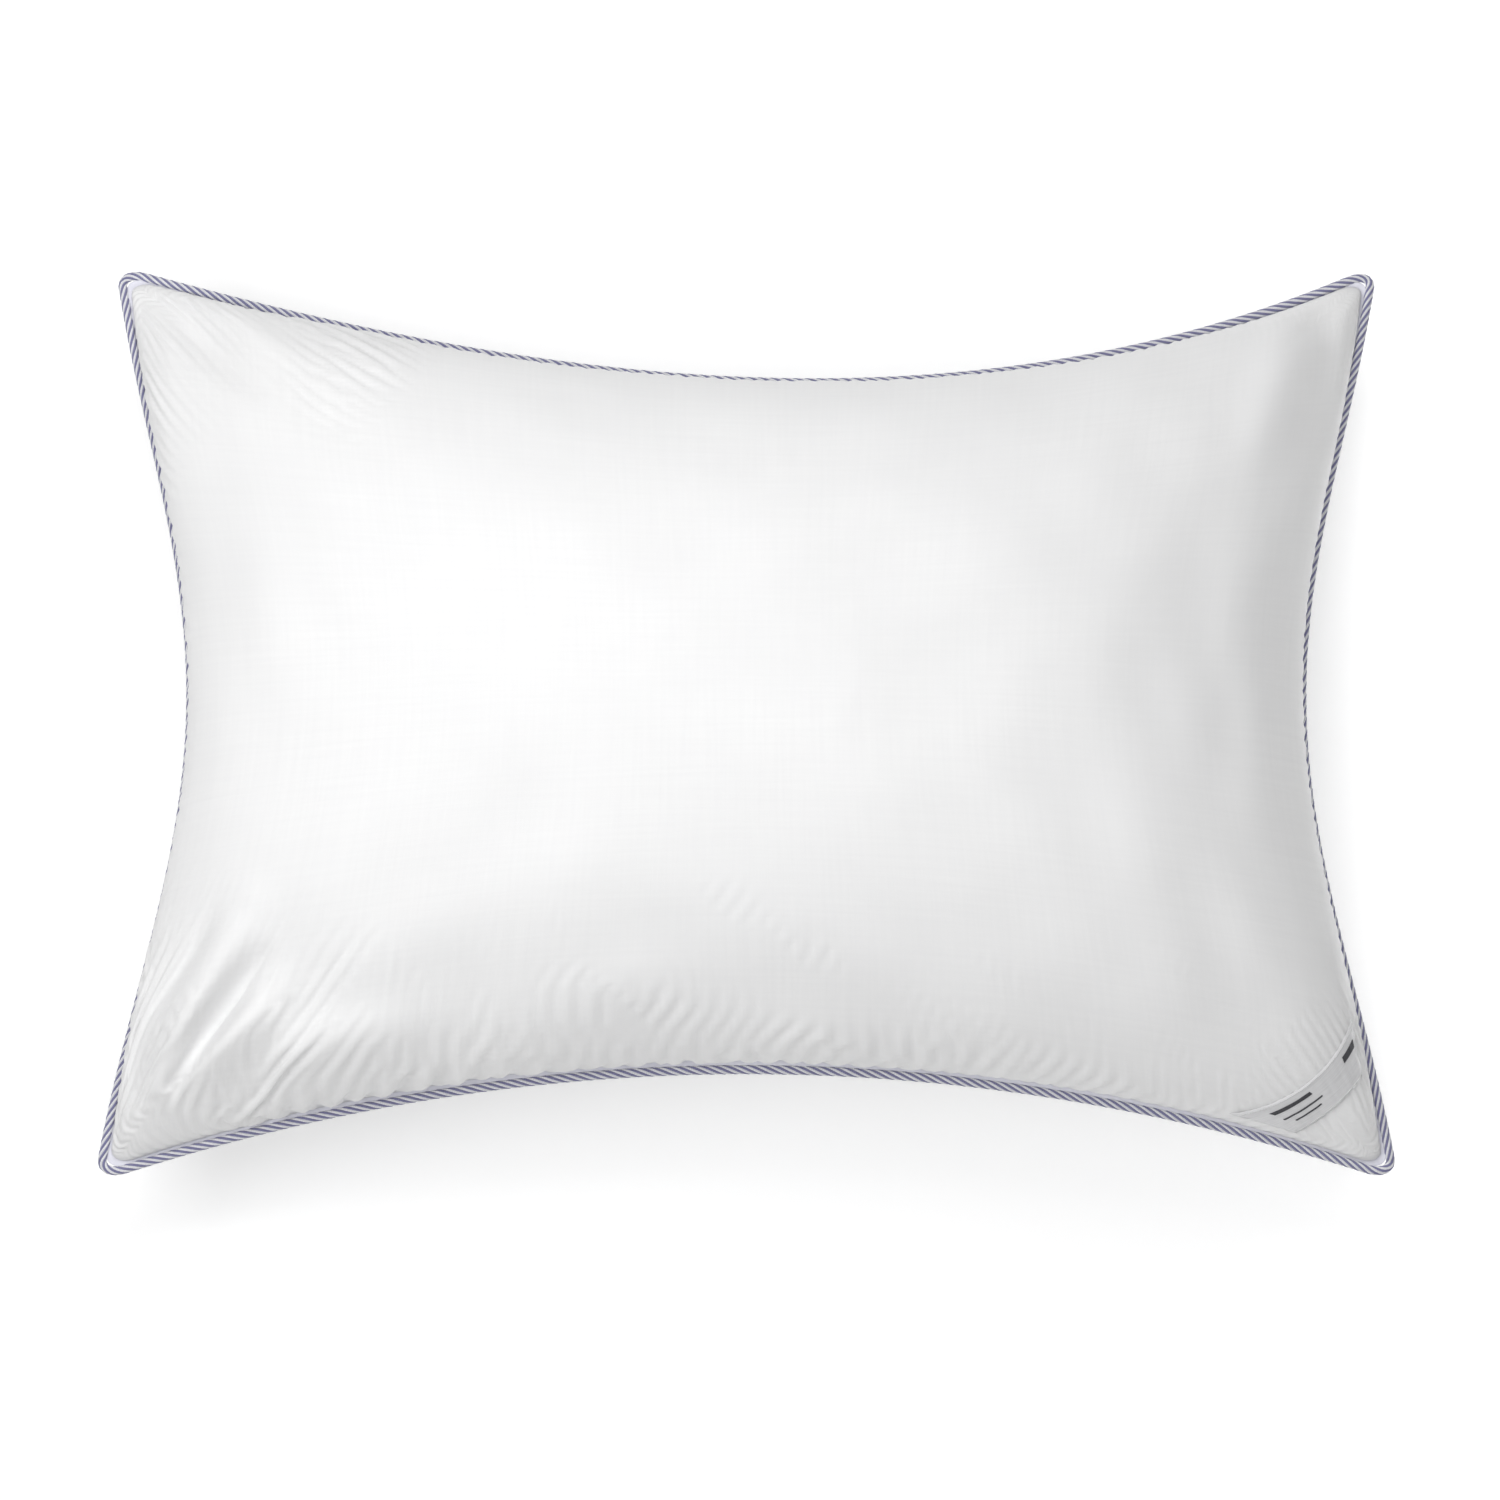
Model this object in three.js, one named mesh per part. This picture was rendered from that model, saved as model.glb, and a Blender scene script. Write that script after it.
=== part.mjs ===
// A bed pillow lying on its back: two cotton panels sewn together around a loose fibre fill,
// with a twisted cord held in the seam. Millimetres, +Z up. +X runs along the long side, and
// the origin is the middle of the footprint, on the surface that the pillow lies on.
//
// Every piece follows the same plan. A point of the pillow has two plan numbers: s along the
// length and t across it, both from -1 to 1, and the seam is the rounded square around them.
import * as THREE from 'three';

// ---- driving dimensions ----
const CORNER_X = 345; // middle of the pillow to a corner of the seam, along the length
const CORNER_Y = 246; // and across it
const SHORT_SIDE_BOW = 48; // how far the middle of a short side pulls in
const TOP_SIDE_BOW = 70; // how far the middle of the +Y side pulls in
const BOTTOM_SIDE_BOW = 57; // and of the -Y side
const TOP_DIP = 0.1; // the +Y side pulls in furthest this far along it, towards +X
const CORNER_ROUND = 0.042; // rounding of the seam's corners, as a share of the half size
const SEAM_HEIGHT = 92; // middle of the seam above the surface
const CORNER_DROOP = 24; // the corners hang this much lower than the middles of the sides
const FRONT_RISE = 118; // crown of the front panel above the seam
const BACK_DROP = 120; // belly of the back panel below the seam, before it lies flat
const LENGTH_POWER = 2.6; // how flat the crown stays along the length before it falls
const WIDTH_POWER = 2.2; // and across it
const RIM_POWER = 8; // how near the seam the crown gives way to the seam's own height
const CLOTH = 1.2; // thickness of a panel with its lining of felted fibre
const GAP = 0.4; // clearance between neighbouring pieces
const ALLOWANCE = 10; // the panels' turned-in seam allowance
const TAPE = 1; // thickness of the cord's sewing tape
const LIP = 2.5; // strip of tape that shows between the panels and the cord
const CORD_DIAMETER = 5;
const THREAD_DIAMETER = 0.8;
const STITCH_INSET = 5; // seam stitches, in from the seam's edge

// Corner label on the front, a curved satin band across the +X -Y corner
const LABEL_CENTRE_X = 252;
const LABEL_CENTRE_Y = -144;
const LABEL_RADIUS = 75; // inner edge of the band
const LABEL_WIDTH = 20;
const LABEL_MIDDLE = -0.65; // angle of the band's middle, in radians
const LABEL_SPREAD = 1; // no end of the band is further from its middle than this
const LABEL_REACH = 0.985; // its two ends stop this far out, where the seam holds them
const LABEL_CLOTH = 0.5;
const LABEL_LIFT = 1.6; // underside of the label above the panel
const LABEL_STITCH_INSET = 2.5; // its stitches, in from the inner edge

// Care label, sewn into the -X seam and folded against the back
const CARE_LABEL_MIDDLE_Y = 84;
const CARE_LABEL_WIDTH = 38;
const CARE_LABEL_START = 3; // in from the seam, along the length
const CARE_LABEL_REACH = 24;
const CARE_LABEL_CLOTH = 0.5;
const CARE_LABEL_LIFT = 2;

// Steps of the meshes
const SHORT_SIDE_STEPS = 12;
const LONG_SIDE_STEPS = 16;
const CORNER_STEPS = 4;
const RINGS = 8; // from the middle of a panel to the seam
const CORD_SIDES = 8;
const THREAD_SIDES = 5;
const CORNER_LABEL_STEPS = [16, 3]; // along and across
const CARE_LABEL_STEPS = [8, 4];
const LABEL_THREAD_STEPS = 24;
const CORRECTIONS = 30; // rounds of correction that settle a place well under a micrometre
const SLOPE_STEP = 0.5; // distance over which a face's slope is taken

// ---- plan of the pillow ----

// Share of the full half length at t: the short sides bow in as a soft S from each corner.
function halfLength(t) {
  const parabola = t * t;
  const soft = Math.sin(Math.PI * t / 2) ** 2;
  return CORNER_X - SHORT_SIDE_BOW * (1 - (parabola + soft) / 2);
}

// The long sides bow in as parabolas, the +Y one with its dip moved along by TOP_DIP. The
// bow changes from one side's to the other's across the pillow.
function halfWidth(s, t) {
  const dip = t > 0 ? TOP_DIP * t * (1 - s * s) : 0;
  const bow = BOTTOM_SIDE_BOW + (TOP_SIDE_BOW - BOTTOM_SIDE_BOW) * (1 + t) / 2;
  return CORNER_Y - bow * (1 - (s - dip) ** 2);
}

// Place of the plan point (s, t), with the whole plan shrunk by inset.
function place(s, t, inset) {
  return [s * (halfLength(t) - inset), t * (halfWidth(s, t) - inset)];
}

// Plan numbers of the place (x, y), by repeated correction.
function planAt(x, y) {
  let s = x / CORNER_X;
  let t = y / CORNER_Y;
  for (let round = 0; round < CORRECTIONS; round++) {
    s = x / halfLength(t);
    t = y / halfWidth(s, t);
  }
  return [s, t];
}

// How far out (s, t) lies: 0 in the middle, 1 on the rounded square of the seam.
function reach(s, t) {
  const straight = 1 - CORNER_ROUND;
  const u = Math.abs(s);
  const v = Math.abs(t);
  const square = Math.max(u, v);
  if (Math.min(u, v) <= straight * square) return square;
  const a = 2 * straight ** 2 - CORNER_ROUND ** 2;
  const b = straight * (u + v);
  return (b - Math.sqrt(b * b - a * (u * u + v * v))) / a;
}

// Crown of a stuffed rectangle, which only meets the seam along its straight sides.
function crown(s, t) {
  return (1 - Math.abs(s) ** LENGTH_POWER) * (1 - Math.abs(t) ** WIDTH_POWER);
}

// Height of the stuffing: 1 in the middle, falling steeply to 0 all around the seam.
function fullness(s, t) {
  const r = reach(s, t);
  if (r === 0) return 1;
  const atSeam = crown(s / r, t / r) * r ** RIM_POWER;
  return Math.sqrt(Math.max(0, crown(s, t) - atSeam));
}

function seamHeight(s, t) {
  return SEAM_HEIGHT - CORNER_DROOP * s * s * t * t;
}

// The two faces of the stuffed pillow, thinned by inset all around.
const HALF_SEAM = TAPE / 2 + GAP;

function frontHeight(s, t, inset) {
  return seamHeight(s, t) + HALF_SEAM + (FRONT_RISE - inset) * fullness(s, t);
}

function backHeight(s, t, inset) {
  const free = seamHeight(s, t) - HALF_SEAM - (BACK_DROP - inset) * fullness(s, t);
  return Math.max(inset, free);
}

// ---- rings and solids ----

// Plan points once around the seam, counterclockwise from the -Y end of the +X side.
function seamOutline() {
  const straight = 1 - CORNER_ROUND;
  const outline = [];
  for (let side = 0; side < 4; side++) {
    const steps = side % 2 === 0 ? SHORT_SIDE_STEPS : LONG_SIDE_STEPS;
    const points = [];
    for (let k = 0; k < steps; k++) {
      points.push(new THREE.Vector2(1, straight * (2 * k / steps - 1)));
    }
    for (let k = 0; k < CORNER_STEPS; k++) {
      const angle = Math.PI / 2 * k / CORNER_STEPS;
      const across = straight + CORNER_ROUND * Math.cos(angle);
      points.push(new THREE.Vector2(across, straight + CORNER_ROUND * Math.sin(angle)));
    }
    for (const point of points) {
      outline.push(point.rotateAround(new THREE.Vector2(0, 0), side * Math.PI / 2));
    }
  }
  return outline;
}

const OUTLINE = seamOutline();

// A ring of one face of the pillow, at r of the way from the middle to the seam.
function faceRing(height, r, inset) {
  if (r === 0) return [new THREE.Vector3(0, 0, height(0, 0, inset))];
  return OUTLINE.map(({ x: s, y: t }) => {
    const [x, y] = place(r * s, r * t, inset);
    return new THREE.Vector3(x, y, height(r * s, r * t, inset));
  });
}

// A ring that runs along the seam, inset from it and lifted from its middle plane.
function seamRing(inset, lift) {
  return OUTLINE.map(({ x: s, y: t }) => {
    const [x, y] = place(s, t, inset);
    return new THREE.Vector3(x, y, seamHeight(s, t) + lift);
  });
}

// Rings from the middle outwards, closer together where the face turns down to the seam, and
// without the seam itself.
const RING_SHARES = Array.from({ length: RINGS }, (_, k) => Math.sin(Math.PI / 2 * k / RINGS));

// Skins a stack of rings. A ring of one point closes that end, and a hoop joins its last
// ring to its first. Faces one above the other split their squares along the same diagonal,
// so that they never cross.
function skin(rings, hoop) {
  const vertices = rings.flat();
  const starts = [];
  let count = 0;
  for (const ring of rings) {
    starts.push(count);
    count += ring.length;
  }
  const indices = [];
  const joins = hoop ? rings.length : rings.length - 1;
  for (let k = 0; k < joins; k++) {
    const here = k;
    const next = (k + 1) % rings.length;
    const around = Math.max(rings[here].length, rings[next].length);
    const inwards = rings[next][0].length() < rings[here][0].length();
    for (let i = 0; i < around; i++) {
      const a = starts[here] + i % rings[here].length;
      const b = starts[next] + i % rings[next].length;
      const c = starts[next] + (i + 1) % rings[next].length;
      const d = starts[here] + (i + 1) % rings[here].length;
      if (inwards) {
        indices.push(a, b, d);
        if (b !== c) indices.push(b, c, d);
      } else {
        indices.push(a, b, c);
        if (a !== d) indices.push(a, c, d);
      }
    }
  }
  return solid(vertices, indices);
}

function solid(vertices, indices) {
  const geometry = new THREE.BufferGeometry().setFromPoints(vertices);
  geometry.setIndex(indices);
  geometry.computeVertexNormals();
  return geometry;
}

// A thin sheet from a grid of points and the same grid seen from its other side.
function sheet(upper, lower) {
  const rows = upper.length;
  const columns = upper[0].length;
  const vertices = [...upper.flat(), ...lower.flat()];
  const under = rows * columns;
  const indices = [];
  for (let row = 0; row + 1 < rows; row++) {
    for (let column = 0; column + 1 < columns; column++) {
      const a = row * columns + column;
      const b = a + 1;
      const c = a + columns + 1;
      const d = a + columns;
      indices.push(a, b, c, a, c, d);
      indices.push(under + a, under + c, under + b, under + a, under + d, under + c);
    }
  }
  const rim = [];
  for (let column = 0; column + 1 < columns; column++) rim.push(column);
  for (let row = 0; row + 1 < rows; row++) rim.push(row * columns + columns - 1);
  for (let column = columns - 1; column > 0; column--) rim.push((rows - 1) * columns + column);
  for (let row = rows - 1; row > 0; row--) rim.push(row * columns);
  rim.forEach((a, k) => {
    const b = rim[(k + 1) % rim.length];
    indices.push(a, under + a, under + b, a, under + b, b);
  });
  return solid(vertices, indices);
}

// A point above a face of the pillow, lifted along the face's outward direction.
function above(height, x, y, lift) {
  const at = (px, py) => {
    const [s, t] = planAt(px, py);
    return new THREE.Vector3(px, py, height(s, t, 0));
  };
  const alongX = at(x + SLOPE_STEP, y).sub(at(x - SLOPE_STEP, y));
  const alongY = at(x, y + SLOPE_STEP).sub(at(x, y - SLOPE_STEP));
  const outward = alongX.cross(alongY).normalize();
  if (height === backHeight) outward.negate();
  return at(x, y).addScaledVector(outward, lift);
}

function piece(name, geometry, color, roughness) {
  const material = new THREE.MeshStandardMaterial({ color, roughness, metalness: 0 });
  const mesh = new THREE.Mesh(geometry, material);
  mesh.name = name;
  return mesh;
}

// ---- pieces ----

// A panel's allowance is turned in at the seam and lies against the cord's tape.
function frontPanel() {
  const outer = RING_SHARES.map((r) => faceRing(frontHeight, r, 0));
  const inner = RING_SHARES.map((r) => faceRing(frontHeight, r, CLOTH)).reverse();
  const rim = [
    seamRing(0, HALF_SEAM + CLOTH),
    seamRing(0, HALF_SEAM),
    seamRing(ALLOWANCE, HALF_SEAM),
    seamRing(ALLOWANCE, HALF_SEAM + CLOTH),
    seamRing(2 * CLOTH, HALF_SEAM + CLOTH),
  ];
  return skin([...outer, ...rim, ...inner], false);
}

function backPanel() {
  const inner = RING_SHARES.map((r) => faceRing(backHeight, r, CLOTH));
  const outer = RING_SHARES.map((r) => faceRing(backHeight, r, 0)).reverse();
  const rim = [
    seamRing(2 * CLOTH, -HALF_SEAM - CLOTH),
    seamRing(ALLOWANCE, -HALF_SEAM - CLOTH),
    seamRing(ALLOWANCE, -HALF_SEAM),
    seamRing(0, -HALF_SEAM),
    seamRing(0, -HALF_SEAM - CLOTH),
  ];
  return skin([...inner, ...rim, ...outer], false);
}

// The fill keeps clear of the panels and of their allowances.
function fiberFill() {
  const inside = CLOTH + 2 * GAP;
  const edge = ALLOWANCE + 2 * GAP;
  const ring = (height, r) => faceRing(height, r, inside + (edge - inside) * r ** RIM_POWER);
  const front = RING_SHARES.map((r) => ring(frontHeight, r));
  const back = RING_SHARES.map((r) => ring(backHeight, r)).reverse();
  return skin([...front, seamRing(edge, 0), ...back], false);
}

function pipingTape() {
  return skin([
    seamRing(ALLOWANCE, TAPE / 2),
    seamRing(-LIP, TAPE / 2),
    seamRing(-LIP, -TAPE / 2),
    seamRing(ALLOWANCE, -TAPE / 2),
  ], true);
}

// A round strand that runs once around the pillow beside the seam.
function strandLoop(diameter, inset, lift, sides) {
  const rings = [];
  for (let k = 0; k < sides; k++) {
    const angle = 2 * Math.PI * k / sides;
    const out = diameter / 2 * Math.sin(angle);
    const up = diameter / 2 * Math.cos(angle);
    rings.push(seamRing(inset - out, lift + up));
  }
  return skin(rings, true);
}

function pipingCord() {
  const inset = -(LIP + GAP + CORD_DIAMETER / 2);
  return strandLoop(CORD_DIAMETER, inset, 0, CORD_SIDES);
}

// The seam is a lockstitch: one thread on the front allowance, the other on the back one.
function seamThread(side) {
  const lift = side * (HALF_SEAM + CLOTH + GAP + THREAD_DIAMETER / 2);
  return strandLoop(THREAD_DIAMETER, STITCH_INSET, lift, THREAD_SIDES);
}

function labelPlace(radius, angle) {
  const x = LABEL_CENTRE_X + radius * Math.cos(angle);
  const y = LABEL_CENTRE_Y + radius * Math.sin(angle);
  return [x, y];
}

// Angle where the label's arc of that radius meets the seam, to one side of its middle.
function labelEnd(radius, side) {
  let inside = LABEL_MIDDLE;
  let outside = LABEL_MIDDLE + side * LABEL_SPREAD;
  for (let round = 0; round < CORRECTIONS; round++) {
    const angle = (inside + outside) / 2;
    const [s, t] = planAt(...labelPlace(radius, angle));
    if (reach(s, t) < LABEL_REACH) inside = angle;
    else outside = angle;
  }
  return inside;
}

// A point of the label, share of the way along the arc from the -Y side to the +X side.
function labelPoint(radius, share, lift) {
  const start = labelEnd(radius, -1);
  const end = labelEnd(radius, 1);
  return above(frontHeight, ...labelPlace(radius, start + (end - start) * share), lift);
}

function cornerLabel() {
  const [along, across] = CORNER_LABEL_STEPS;
  const grid = (lift) => {
    const rows = [];
    for (let row = 0; row <= along; row++) {
      const points = [];
      for (let column = 0; column <= across; column++) {
        const radius = LABEL_RADIUS + LABEL_WIDTH * column / across;
        points.push(labelPoint(radius, row / along, lift));
      }
      rows.push(points);
    }
    return rows;
  };
  return sheet(grid(LABEL_LIFT + LABEL_CLOTH), grid(LABEL_LIFT));
}

function cornerLabelThread() {
  const lift = LABEL_LIFT + LABEL_CLOTH + GAP + THREAD_DIAMETER / 2;
  const steps = LABEL_THREAD_STEPS;
  const points = [];
  for (let k = 1; k < steps; k++) {
    points.push(labelPoint(LABEL_RADIUS + LABEL_STITCH_INSET, k / steps, lift));
  }
  const section = new THREE.Shape().absarc(0, 0, THREAD_DIAMETER / 2, 0, 2 * Math.PI);
  const extrudePath = new THREE.CatmullRomCurve3(points);
  return new THREE.ExtrudeGeometry(section, { steps, curveSegments: THREAD_SIDES, extrudePath });
}

function careLabel() {
  const [along, across] = CARE_LABEL_STEPS;
  const grid = (lift) => {
    const rows = [];
    for (let row = 0; row <= along; row++) {
      const inset = CARE_LABEL_START + CARE_LABEL_REACH * row / along;
      const points = [];
      for (let column = 0; column <= across; column++) {
        const y = CARE_LABEL_MIDDLE_Y + CARE_LABEL_WIDTH * (column / across - 0.5);
        const [s, t] = planAt(-CORNER_X, y);
        const edge = place(-1, t, 0)[0];
        points.push(above(backHeight, edge + inset, y, lift));
      }
      rows.push(points);
    }
    return rows;
  };
  return sheet(grid(CARE_LABEL_LIFT + CARE_LABEL_CLOTH), grid(CARE_LABEL_LIFT));
}

// ---- assembly ----
const WHITE_COTTON = 0xf6f6f6;
const FIBRE_WHITE = 0xfafaf7;
const CORD_BLUE = 0x8a8aa8;
const TAPE_WHITE = 0xeeeef4;
const THREAD_WHITE = 0xf2f2f2;
const SATIN_WHITE = 0xe6e6e8;

const pillow = new THREE.Group();
pillow.add(
  piece('front_panel', frontPanel(), WHITE_COTTON, 0.7),
  piece('back_panel', backPanel(), WHITE_COTTON, 0.7),
  piece('fiber_fill', fiberFill(), FIBRE_WHITE, 0.95),
  piece('piping_tape', pipingTape(), TAPE_WHITE, 0.8),
  piece('piping_cord', pipingCord(), CORD_BLUE, 0.75),
  piece('seam_needle_thread', seamThread(1), THREAD_WHITE, 0.6),
  piece('seam_bobbin_thread', seamThread(-1), THREAD_WHITE, 0.6),
  piece('corner_label', cornerLabel(), SATIN_WHITE, 0.4),
  piece('corner_label_thread', cornerLabelThread(), THREAD_WHITE, 0.6),
  piece('care_label', careLabel(), SATIN_WHITE, 0.5),
);

export default pillow;
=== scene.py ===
"""Looks of the bed pillow: two cotton panels settled by a cloth simulation, the two-tone
twisted cord with its lip, the stitching, the satin labels and the fill. Metres, in the
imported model's frame: +X along the pillow, +Y across it, +Z up, lying on z = 0."""
import math
import bpy
import numpy as np
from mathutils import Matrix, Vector
from mathutils.bvhtree import BVHTree


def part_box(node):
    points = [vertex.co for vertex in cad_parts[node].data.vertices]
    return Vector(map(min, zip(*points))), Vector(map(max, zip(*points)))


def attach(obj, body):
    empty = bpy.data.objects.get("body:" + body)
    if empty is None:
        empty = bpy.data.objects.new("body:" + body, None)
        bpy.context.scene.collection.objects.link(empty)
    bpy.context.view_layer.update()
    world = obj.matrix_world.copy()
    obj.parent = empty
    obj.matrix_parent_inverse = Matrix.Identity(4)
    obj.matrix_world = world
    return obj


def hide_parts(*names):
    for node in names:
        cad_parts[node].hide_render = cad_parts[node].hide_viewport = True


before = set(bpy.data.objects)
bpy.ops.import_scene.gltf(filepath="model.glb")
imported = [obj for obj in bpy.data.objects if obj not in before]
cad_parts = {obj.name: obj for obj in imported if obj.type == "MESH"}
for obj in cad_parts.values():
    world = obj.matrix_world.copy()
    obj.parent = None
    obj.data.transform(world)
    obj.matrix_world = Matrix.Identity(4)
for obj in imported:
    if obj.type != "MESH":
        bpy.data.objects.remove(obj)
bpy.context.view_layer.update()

# ---- sizes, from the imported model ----
PANEL_LOW, PANEL_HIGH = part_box("front_panel")
TAPE_LOW, TAPE_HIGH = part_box("piping_tape")

# The plan that every piece follows, as in the model's own shapes. Plan numbers s and t run
# from -1 to 1 between the seams, along and across the pillow.
CORNER_ROUND = 0.042  # rounding of the seam's corners, as a share of the half size
SHORT_SIDE_BOW = 0.048  # how far the middle of a side curves in from its corners
TOP_SIDE_BOW = 0.070
BOTTOM_SIDE_BOW = 0.057
TOP_DIP = 0.1  # how far to +X the +Y side is deepest, as a share of the half length
LENGTH_POWER = 2.6  # how flat the crown stays along the pillow, and across it
WIDTH_POWER = 2.2
RIM_POWER = 8  # how late, going outward, the height is drawn down to 0
TAPE = 0.001  # thickness
LIP = 0.0025  # tape between the panels and the cord
GAP = 0.0004  # between layers
CORD_DIAMETER = 0.005
ALLOWANCE = 0.010  # tape and panels turned in behind the seam
BACK_DROP = 0.120  # of the back panel below the seam
SEAM_STRAIGHT = 1 - CORNER_ROUND
SOFT_END = (SEAM_STRAIGHT ** 2 + math.sin(math.pi * SEAM_STRAIGHT / 2) ** 2) / 2
CORNER_X = PANEL_HIGH[0] + SHORT_SIDE_BOW * (1 - SOFT_END)
CORNER_Y = -PANEL_LOW[1] + BOTTOM_SIDE_BOW * (1 - SEAM_STRAIGHT ** 2)
CORNER_TIP = SEAM_STRAIGHT + CORNER_ROUND * math.sqrt(0.5)
SEAM_HEIGHT = TAPE_HIGH[2] - TAPE / 2
CORNER_DROOP = (SEAM_HEIGHT - TAPE_LOW[2] - TAPE / 2) / CORNER_TIP ** 4
HALF_SEAM = TAPE / 2 + GAP
FRONT_RISE = PANEL_HIGH[2] - SEAM_HEIGHT - HALF_SEAM

# The cloth
FLAT_CUT = (0.711, 0.508)  # a panel between its seams, before it is filled
SIDE_BULGE = (0.0090, 0.0080)  # how far the stuffing pushes out over the -X and +X seams
END_BULGE = (0.0055, 0.0044)  # and over the -Y and +Y ones
THREADS = (320, 214)  # cells of the simulated cloth, along and across
SEAM_PACKING = 0.9  # how strongly its lines close up towards the seam
SETTLING_ROUNDS = 500
KEPT_MOTION = 0.9  # share of a point's motion that it keeps to the next round
PRESSING = 0.01  # share of its distance from the goal that the fill takes back each round
FIRST_RIPPLE = 0.0006  # of the cloth before it settles, so that it has a way to buckle
LUMPS = 0.0008  # of the fill under the cloth
TIGHTNESS = 0.004  # share by which a stuffed panel is stretched where it isn't gathered
PILLOW_SEED = 5
UP = np.array([0.0, 0.0, 1.0])


# ---- plan of the pillow ----
def half_length(t):
    return CORNER_X - SHORT_SIDE_BOW * (1 - (t * t + np.sin(np.pi * t / 2) ** 2) / 2)


def half_width(s, t):
    dip = np.where(t > 0, TOP_DIP * t * (1 - s * s), 0)
    bow = BOTTOM_SIDE_BOW + (TOP_SIDE_BOW - BOTTOM_SIDE_BOW) * (1 + t) / 2
    return CORNER_Y - bow * (1 - (s - dip) ** 2)


def plan_at(x, y):
    """Plan numbers of the place (x, y), by repeated correction."""
    s, t = x / CORNER_X, y / CORNER_Y
    for _ in range(30):
        s, t = x / half_length(t), y / half_width(s, t)
    return s, t


def reach(s, t):
    """How far out (s, t) lies: 0 in the middle, 1 on the rounded square of the seam."""
    u, v = np.abs(s), np.abs(t)
    square = np.maximum(u, v)
    a = 2 * SEAM_STRAIGHT ** 2 - CORNER_ROUND ** 2
    b = SEAM_STRAIGHT * (u + v)
    rounded = (b - np.sqrt(np.maximum(b * b - a * (u * u + v * v), 0))) / a
    return np.where(np.minimum(u, v) <= SEAM_STRAIGHT * square, square, rounded)


def crown(s, t):
    return (1 - np.abs(s) ** LENGTH_POWER) * (1 - np.abs(t) ** WIDTH_POWER)


def fullness(s, t):
    """Height of the stuffing: 1 in the middle, falling steeply to 0 at the seam."""
    r = np.maximum(reach(s, t), 1e-9)
    at_seam = crown(np.clip(s / r, -1, 1), np.clip(t / r, -1, 1)) * r ** RIM_POWER
    return np.sqrt(np.maximum(0, crown(s, t) - at_seam))


def seam_height(s, t):
    return SEAM_HEIGHT - CORNER_DROOP * s * s * t * t


def outline(count):
    """Plan numbers of count points at even steps around the seam, counterclockwise from
    the -Y end of the +X side, and the seam's length."""
    side = np.linspace(-SEAM_STRAIGHT, SEAM_STRAIGHT, 400, endpoint=False)
    turn = np.linspace(0, np.pi / 2, 100, endpoint=False)
    s = np.concatenate([np.ones_like(side), SEAM_STRAIGHT + CORNER_ROUND * np.cos(turn)])
    t = np.concatenate([side, SEAM_STRAIGHT + CORNER_ROUND * np.sin(turn)])
    s, t = np.concatenate([s, -t, -s, t]), np.concatenate([t, s, -t, -s])
    points = seam_points(s, t, 0)
    steps = np.linalg.norm(np.roll(points, -1, 0) - points, axis=1)
    along = np.concatenate([[0], np.cumsum(steps)])
    even = np.linspace(0, along[-1], count, endpoint=False)
    s_even = np.interp(even, along, np.append(s, s[0]))
    t_even = np.interp(even, along, np.append(t, t[0]))
    return s_even, t_even, along[-1]


def seam_points(s, t, inset):
    """Points on the seam's middle plane, inset from the seam."""
    x, y = s * (half_length(t) - inset), t * (half_width(s, t) - inset)
    return np.stack([x, y, seam_height(s, t)], -1)


# ---- meshes ----
def unit(vectors):
    lengths = np.linalg.norm(vectors, axis=-1, keepdims=True)
    return vectors / np.maximum(lengths, 1e-12)


def mesh_piece(name, points, faces, material, uv=None):
    """A smooth piece from arrays of points and faces, with optional uv in metres."""
    mesh = bpy.data.meshes.new(name)
    mesh.from_pydata(points.reshape(-1, 3).tolist(), [], np.asarray(faces).tolist())
    mesh.polygons.foreach_set("use_smooth", [True] * len(mesh.polygons))
    if uv is not None:
        corners = np.empty(len(mesh.loops), dtype=np.int32)
        mesh.loops.foreach_get("vertex_index", corners)
        layer = mesh.uv_layers.new(name="cloth")
        layer.data.foreach_set("uv", uv.reshape(-1, 2)[corners].ravel())
    mesh.materials.append(material)
    mesh.update()
    piece = bpy.data.objects.new(name, mesh)
    bpy.context.scene.collection.objects.link(piece)
    return piece


def grid_faces(rows, columns, join_rows=False, join_columns=False, first=0):
    """Quads of a grid of points, which may close on itself either way."""
    index = first + np.arange(rows * columns).reshape(rows, columns)
    if join_rows:
        index = np.vstack([index, index[:1]])
    if join_columns:
        index = np.hstack([index, index[:, :1]])
    a, b = index[:-1, :-1], index[1:, :-1]
    c, d = index[1:, 1:], index[:-1, 1:]
    return np.stack([a, b, c, d], -1).reshape(-1, 4)


# ---- cloth simulation ----
def cloth_grid():
    """Plan numbers of the cloth's points: a square grid, drawn in to the rounded seam."""
    lines = []
    for cells in THREADS:
        even = np.linspace(-1, 1, cells + 1)
        lines.append((1 - SEAM_PACKING) * even + SEAM_PACKING * np.sin(np.pi / 2 * even))
    s, t = np.meshgrid(*lines, indexing="ij")
    square = np.maximum(np.abs(s), np.abs(t))
    shrink = np.where(square > 0, square / np.maximum(reach(s, t), 1e-9), 1)
    return s * shrink, t * shrink


def stuffed_panel(s, t, rise):
    """The smooth shape the fill gives a panel that rises that much above the seam."""
    full = fullness(s, t)
    r = np.maximum(reach(s, t), 1e-9)
    out = 27 / 4 * full * (1 - full) ** 2  # 1 where it is a third full
    x_out = out * (1 - (t / r) ** 6) * np.where(s < 0, *SIDE_BULGE)
    y_out = out * (1 - (s / r) ** 2) * np.where(t < 0, *END_BULGE)
    x, y = s * (half_length(t) + x_out), t * (half_width(s, t) + y_out)
    side = math.copysign(1, rise)
    z = seam_height(s, t) + side * HALF_SEAM + rise * full
    return np.stack([x, y, z], -1)


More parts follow.
